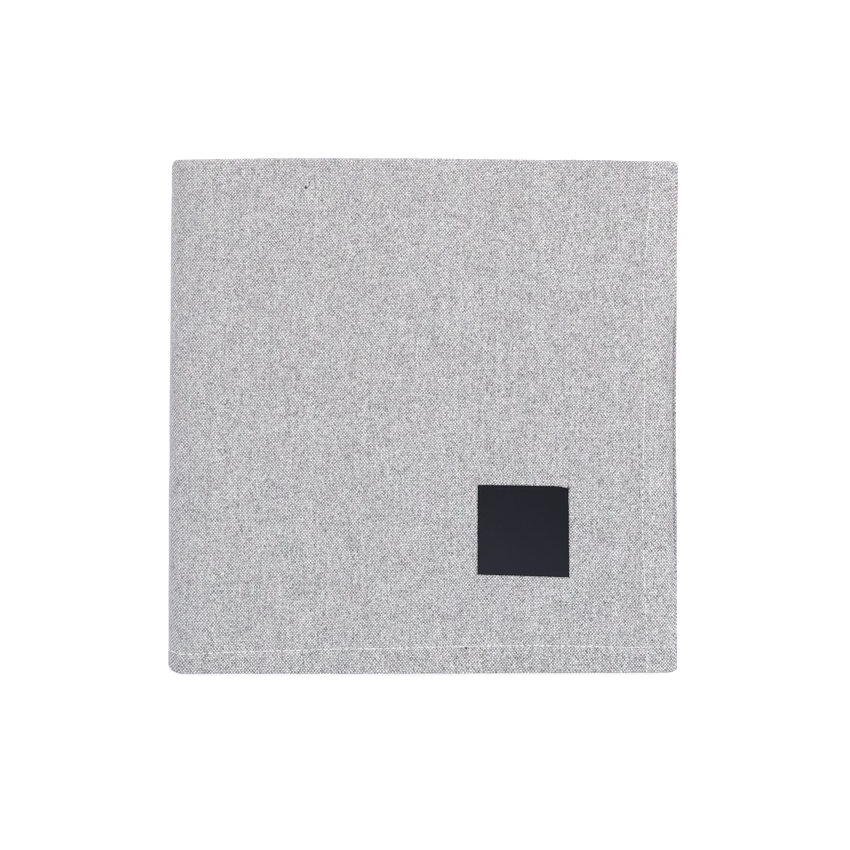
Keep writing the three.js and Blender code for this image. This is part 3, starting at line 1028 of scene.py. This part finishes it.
def make_weave(u, v):
    """The yarns at a place on the map: the height, tone, painted shade of the hollows, and fibres of what
    shows there.
    """
    drift_a = noise(vector(u, v), DRIFT_SCALE, 1.0) * DRIFT_REACH
    drift_b = noise(vector(v + DRIFT_OFFSET, u), DRIFT_SCALE, 1.0) * DRIFT_REACH
    waver_a = noise(vector(u, v, 11.0), WAVER_SCALE) * WAVER_REACH
    waver_b = noise(vector(u, v, 13.0), WAVER_SCALE) * WAVER_REACH
    a = u * float(WARP_YARNS) - v * float(WARP_LEAN) + drift_a + waver_a
    b = v * float(WEFT_YARNS) - u * float(WEFT_LEAN) + drift_b + waver_b
    warp = a.math("FLOOR")
    weft = b.math("FLOOR")
    over = ((warp + weft) * 0.5).math("FRACT") * 4.0 - 1.0  # 1 where the warp is on top, -1 where it isn't

    warp_sway = noise(vector(warp * SWAY_STEP, b * SWAY_ALONG, 21.0), 1.0) * SWAY_REACH
    weft_sway = noise(vector(a * SWAY_ALONG, weft * SWAY_STEP, 23.0), 1.0) * SWAY_REACH
    off_warp = a - warp - 0.5 + warp_sway
    off_weft = b - weft - 0.5 + weft_sway
    warp_slub = noise(vector(warp * SLUB_STEP, b * SLUB_ALONG_WARP), 1.0, *SLUB_DETAIL)
    weft_slub = noise(vector(a * SLUB_ALONG_WEFT, weft * SLUB_STEP, 5.0), 1.0, *SLUB_DETAIL)
    crossing = scatter(warp, weft, 3.0)
    grain = scatter((a * GRAIN_FINENESS).math("FLOOR"), (b * GRAIN_FINENESS).math("FLOOR"), 6.0)

    warp_height = over * (off_weft * math.pi).math("COSINE") * YARN_SWING + yarn_back(off_warp)
    weft_height = over * (off_warp * math.pi).math("COSINE") * -YARN_SWING + yarn_back(off_weft)
    lead = mixed(LEAD, warp_slub=warp_slub, weft_slub=weft_slub, crossing=crossing, grain=grain)
    warp_shows = (warp_height - weft_height + lead).ramp(-LEAD_SOFTNESS, LEAD_SOFTNESS)
    height = warp_height.math("MAXIMUM", weft_height)

    warp_tone = mixed(WARP_TONE, own=scatter(warp, 0.0, 1.0), slub=warp_slub, crossing=crossing)
    weft_tone = mixed(WEFT_TONE, own=scatter(0.0, weft, 2.0), slub=weft_slub, crossing=crossing)
    tone = between(weft_tone, warp_tone, warp_shows) + grain * GRAIN_TONE
    weft_wave = (off_weft * (2 * math.pi)).math("COSINE")
    # Painted shade: darker in the hollows between the yarns and on their low flanks.
    hollow = mixed(HOLLOW_SHADE, height=height.ramp(*HOLLOW_SHADE_FROM_TO), weft=weft_wave)

    # Fibres lie along whichever yarn is on top.
    warp_fibres = noise(vector(a * FIBRES_ACROSS, b * FIBRES_ALONG, 1.0), 1.0)
    weft_fibres = noise(vector(a * FIBRES_ALONG, b * FIBRES_ACROSS, 7.0), 1.0)
    return height, tone, hollow, between(weft_fibres, warp_fibres, warp_shows)


def add_neps(tone, u, v):
    for x, y, radius, depth in NEPS:
        across, down = flat_place(x, y)
        off_u = u - (1 - (float(across) + WEAVE_MARGIN) / WEAVE_TILE)
        off_v = v - (float(down) + WEAVE_MARGIN) / WEAVE_TILE
        distance = (off_u * off_u + off_v * off_v).math("SQRT") * WEAVE_TILE
        tone = tone * (distance.ramp(radius * NEP_CORE, radius) * depth + (1 - depth))
    return tone


def hem_painted_lighting(beyond_row, tone):
    """Painted light and shade on a hem: this tone on the hem, and 1 inside its row of stitches."""
    return beyond_row.ramp(-HEM_TONE_BLEND, 0.0) * (1 - tone) + tone


def hue_patches(u, v, name):
    crosswise, scale, seed = HUES[name]
    return noise(vector(u * crosswise, v * HUE_LENGTHWAYS, seed), scale, *HUE_DETAIL)


def row_pucker(along_row, beyond_row):
    """The cloth puckers between the stitches of a row, and less so further off it."""
    share = beyond_row / PUCKER_REACH
    stitches = (along_row * (2 * math.pi / STITCH_PITCH)).math("COSINE")
    return stitches * (share * share * -1.0).math("EXPONENT")


def make_canvas():
    material, tree, shader = new_material("canvas")
    u, v = uv_pair(tree, "OFBake")
    beyond_front = attribute(tree, "beyond_front_row")
    beyond_side = attribute(tree, "beyond_side_row")
    # On the hidden layers u and v run on far past 0 and 1, so what grows with them is bounded.
    to_right = u.ramp(0.0, 1.0)
    to_back = v.ramp(0.0, 1.0)
    height, tone, hollow, fibres = make_weave(u, v)

    # Cloudy patches, a few yarns to a hand wide, and the painted shade of the hollows between the yarns.
    cloud = noise(vector(u, v), CLOUD_SCALE, *CLOUD_DETAIL)
    tone = tone * hollow * (cloud * CLOUD_TONE + 1.0)

    # The contrast between light and dark yarns differs from patch to patch, and towards the edges.
    patch = noise(vector(u, v, 17.0), PATCH_SCALE)
    off_front_hem = beyond_front.ramp(-HEM_TONE_BLEND, 0.0)
    crisp = mixed(CRISP, patch=patch, right=to_right, back=to_back, off_front_hem=off_front_hem)
    tone = tone + (tone - MIDDLE_TONE) * crisp
    tone = tone - (tone - MIDDLE_TONE) * (tone - MIDDLE_TONE) * TONE_BOW + TONE_LIFT

    # Along the thick fold the tone is drawn towards a darker, even grey: painted shade where the fold curves
    # down, and the coating that fills the weave there. It is a little bluer there too.
    fold = (u * -1.0).ramp(-COATED_SHADED_FOLD_FROM, -COATED_SHADED_FOLD_TO)
    tone = between(tone, COATED_SHADED_FOLD_TONE, fold * COATED_SHADED_FOLD_SHARE)

    tone = add_neps(tone, u, v)

    # Painted shade and light: the front hem is drawn a little darker and the side hem a little lighter, as
    # the light falls on them.
    tone = tone * hem_painted_lighting(beyond_front, FRONT_HEM_PAINTED_SHADE) * hem_painted_lighting(beyond_side, SIDE_HEM_PAINTED_LIGHT)
    # Painted shade: darker round the hem edges and in the crevice inside the side hem of the layers below the
    # top one.
    tone = tone * (1.0 - attribute(tree, "hem_painted_shade"))

    plum = hue_patches(u, v, "plum")
    red = mixed(RED, plum=plum, cloud=cloud, pink=hue_patches(u, v, "pink"), back=to_back)
    blue = mixed(BLUE, plum=plum, cloud=cloud, blue=hue_patches(u, v, "blue"), back=to_back, fold=fold)

    row_start = WEAVE_MARGIN + ROW_START
    front_pucker = row_pucker(u * -WEAVE_TILE + (WEAVE_TILE - row_start), beyond_front)
    side_pucker = row_pucker(v * WEAVE_TILE - row_start, beyond_side)
    pucker = (front_pucker + side_pucker) * -PUCKER_DEPTH
    set_inputs(shader, {
        "Base Color": colour(tone * red + RED_LEAST, tone, tone * blue + BLUE_LEAST),
        "Normal": bump(height + fibres * FIBRES_HEIGHT + pucker, CANVAS_RELIEF),
        "Roughness": mixed(CANVAS_ROUGHNESS, hollow=hollow, fibres=fibres),
        **CANVAS_SURFACE,
    })
    return material


HEM_THREAD = (0.86, 0.86, 0.87)
LABEL_THREAD = (0.014, 0.015, 0.023)
TWIST_SCALE = 2600.0
TWIST_RELIEF = 0.00008
THREAD_SHADE_SCALE = 90.0
THREAD_SHADE = {"plain": 1.0, "slow": 0.05, "twist": 0.06}
THREAD_ROUGHNESS = {"plain": 0.55, "twist": 0.08}
THREAD_GLOSS = 0.3


def make_thread(name, tint):
    """Twisted sewing thread."""
    material, tree, shader = new_material(name)
    place = object_place(tree)
    twist = noise(place, TWIST_SCALE)
    shade = mixed(THREAD_SHADE, slow=noise(place, THREAD_SHADE_SCALE), twist=twist)
    set_inputs(shader, {
        "Base Color": colour(*(shade * part for part in tint)),
        "Normal": bump(twist, TWIST_RELIEF),
        "Roughness": mixed(THREAD_ROUGHNESS, twist=twist),
        "Specular IOR Level": THREAD_GLOSS,
    })
    return material


SATIN_TINT = (0.0115, 0.0118, 0.0195)
SATIN_COLUMNS = 150.0
SATIN_ROWS = 62.0
SATIN_STAGGER = 0.4  # how far each column of floats lies beyond the last, in rows
SATIN_CLOUD = (3.0, 3.0, 0.6)  # the scale, detail and roughness of its noise
# The satin's tone varies at random from float to float and in soft clouds. It also carries painted shade:
# lighter on the backs of the floats and darker between them, and darker towards the right and the back.
SATIN_TONE_AND_PAINTED_SHADE = {"plain": 1.34, "float": 0.3, "own": 0.1, "cloud": 0.12, "right": -0.28, "back": -0.6}
# Painted shade along the label's rounded rim.
SATIN_RIM_FROM_TO = (0.4845, 0.4915)  # off the middle, as a share of the label's size
SATIN_RIM_PAINTED_SHADE = 0.8
SATIN_RELIEF = 0.00009
SATIN_OWN_HEIGHT = 0.1
SATIN_ROUGHNESS = {"plain": 0.6, "float": -0.1, "own": 0.05}
SATIN_SURFACE = {"Specular IOR Level": 0.1, "Sheen Weight": 0.04, "Sheen Roughness": 0.4}


def make_label_satin():
    """Dense navy satin: fine floats side by side, in rows that are staggered."""
    material, tree, shader = new_material("label_satin")
    u, v = uv_pair(tree, "Label")
    column = u * SATIN_COLUMNS
    row = v * SATIN_ROWS + column.math("FLOOR") * SATIN_STAGGER
    column_arch = ((column.math("FRACT") - 0.5) * math.pi).math("COSINE")
    row_arch = ((row.math("FRACT") - 0.5) * math.pi).math("COSINE").math("SQRT")
    floats = column_arch * row_arch
    own = scatter(column.math("FLOOR"), row.math("FLOOR"), 9.0)
    cloud = noise(vector(u, v, 1.0), *SATIN_CLOUD)
    off_middle = (u - 0.5).math("ABSOLUTE").math("MAXIMUM", (v - 0.5).math("ABSOLUTE"))
    # Painted shade: darker along the label's rounded rim.
    rim = off_middle.ramp(*SATIN_RIM_FROM_TO) * SATIN_RIM_PAINTED_SHADE
    # Painted shade between the floats and towards the right and back, on top of the random tone.
    shade = mixed(SATIN_TONE_AND_PAINTED_SHADE, float=floats, own=own, cloud=cloud, right=u, back=v) * (1.0 - rim)
    set_inputs(shader, {
        "Base Color": colour(*(shade * part for part in SATIN_TINT)),
        "Normal": bump(floats + own * SATIN_OWN_HEIGHT, SATIN_RELIEF),
        "Roughness": mixed(SATIN_ROUGHNESS, float=floats, own=own),
        **SATIN_SURFACE,
    })
    return material


FLOOR_REACH = 3.0
FLOOR_CLEARANCE = 0.0001  # keeps the floor's face off the flat underside of the cloth
FLOOR_GRAIN = (300.0, 3.0)  # the scale and detail of its noise
FLOOR_TONE = {"plain": 0.93, "grain": 0.004}
FLOOR_ROUGHNESS = {"plain": 0.9, "grain": 0.02}
FLOOR_GLOSS = 0.1
FLOOR_GLOW = 0.37
WHITE = (1.0, 1.0, 1.0, 1.0)


def make_floor():
    material, tree, shader = new_material("floor_paper")
    grain = noise(object_place(tree), *FLOOR_GRAIN)
    shade = mixed(FLOOR_TONE, grain=grain)
    set_inputs(shader, {
        "Base Color": colour(shade, shade, shade),
        "Roughness": mixed(FLOOR_ROUGHNESS, grain=grain),
        "Specular IOR Level": FLOOR_GLOSS,
        "Emission Color": WHITE,
        "Emission Strength": FLOOR_GLOW,
    })
    mesh = bpy.data.meshes.new("floor")
    sides = [(-1, -1), (1, -1), (1, 1), (-1, 1)]
    corners = [(x * FLOOR_REACH, y * FLOOR_REACH, -FLOOR_CLEARANCE) for x, y in sides]
    mesh.from_pydata(corners, [], [(0, 1, 2, 3)])
    mesh.materials.append(material)
    floor = bpy.data.objects.new("floor", mesh)
    bpy.context.scene.collection.objects.link(floor)


# -------------------- the studio

VIEW_WIDTH = 585.1  # the width of what fills the picture, at the top of the stack
VIEW_CENTRE = (1.35, -6.22)
LENS = 600.0
SENSOR = 36.0
CAMERA_REACH = 50.0  # metres
SKY_STRENGTH = 0.85

# Round soft lamps that look at the origin. Places and sizes are in metres, powers in watts.
LAMPS = {
    "key": {"place": (0.75, 0.6, 1.75), "size": 1.5, "power": 16.0, "tint": (1.0, 0.995, 0.985)},
    "fill": {"place": (-1.2, 0.9, 1.6), "size": 1.8, "power": 1.5, "tint": (0.97, 0.985, 1.0)},
}


def add_lamp(name, sizes):
    light = bpy.data.lights.new(name, "AREA")
    light.shape = "DISK"
    light.size = sizes["size"]
    light.energy = sizes["power"]
    light.color = sizes["tint"]
    lamp = bpy.data.objects.new(name, light)
    lamp.location = sizes["place"]
    lamp.rotation_euler = (-Vector(sizes["place"])).to_track_quat("-Z", "Y").to_euler()
    lamp.visible_camera = False
    bpy.context.scene.collection.objects.link(lamp)


def make_studio():
    make_floor()
    world = bpy.data.worlds.new("studio")
    world.use_nodes = True
    set_inputs(world.node_tree.nodes["Background"], {"Color": WHITE, "Strength": SKY_STRENGTH})
    bpy.context.scene.world = world
    for name, sizes in LAMPS.items():
        add_lamp(name, sizes)

    camera_data = bpy.data.cameras.new("camera")
    camera_data.lens = LENS
    camera_data.sensor_width = SENSOR
    camera_data.clip_end = CAMERA_REACH
    camera = bpy.data.objects.new("camera", camera_data)
    distance = VIEW_WIDTH * LENS / SENSOR
    camera.location = Vector((*VIEW_CENTRE, STACK_HEIGHT + distance)) * METRES
    bpy.context.scene.collection.objects.link(camera)
    bpy.context.scene.camera = camera
    bpy.context.scene.view_settings.view_transform = "Standard"
    bpy.context.scene.cycles.denoising_prefilter = "NONE"  # keeps the fine weave from being smoothed away


# -------------------- assembly

cloth = make_cloth(make_canvas())
hem_stitches = make_hem_stitches(make_thread("hem_thread", HEM_THREAD))
label = make_label(make_label_satin())
navy_thread = make_thread("label_thread", LABEL_THREAD)
label_stitches = make_label_stitches(navy_thread)
label_fray = make_label_fray(navy_thread)
make_studio()

for piece in (cloth, hem_stitches, label, label_stitches, label_fray):
    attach(piece, "root")
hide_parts("cloth")
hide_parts("label")
side_to_side["length"] * METRES
front_to_back["length"] * METRES
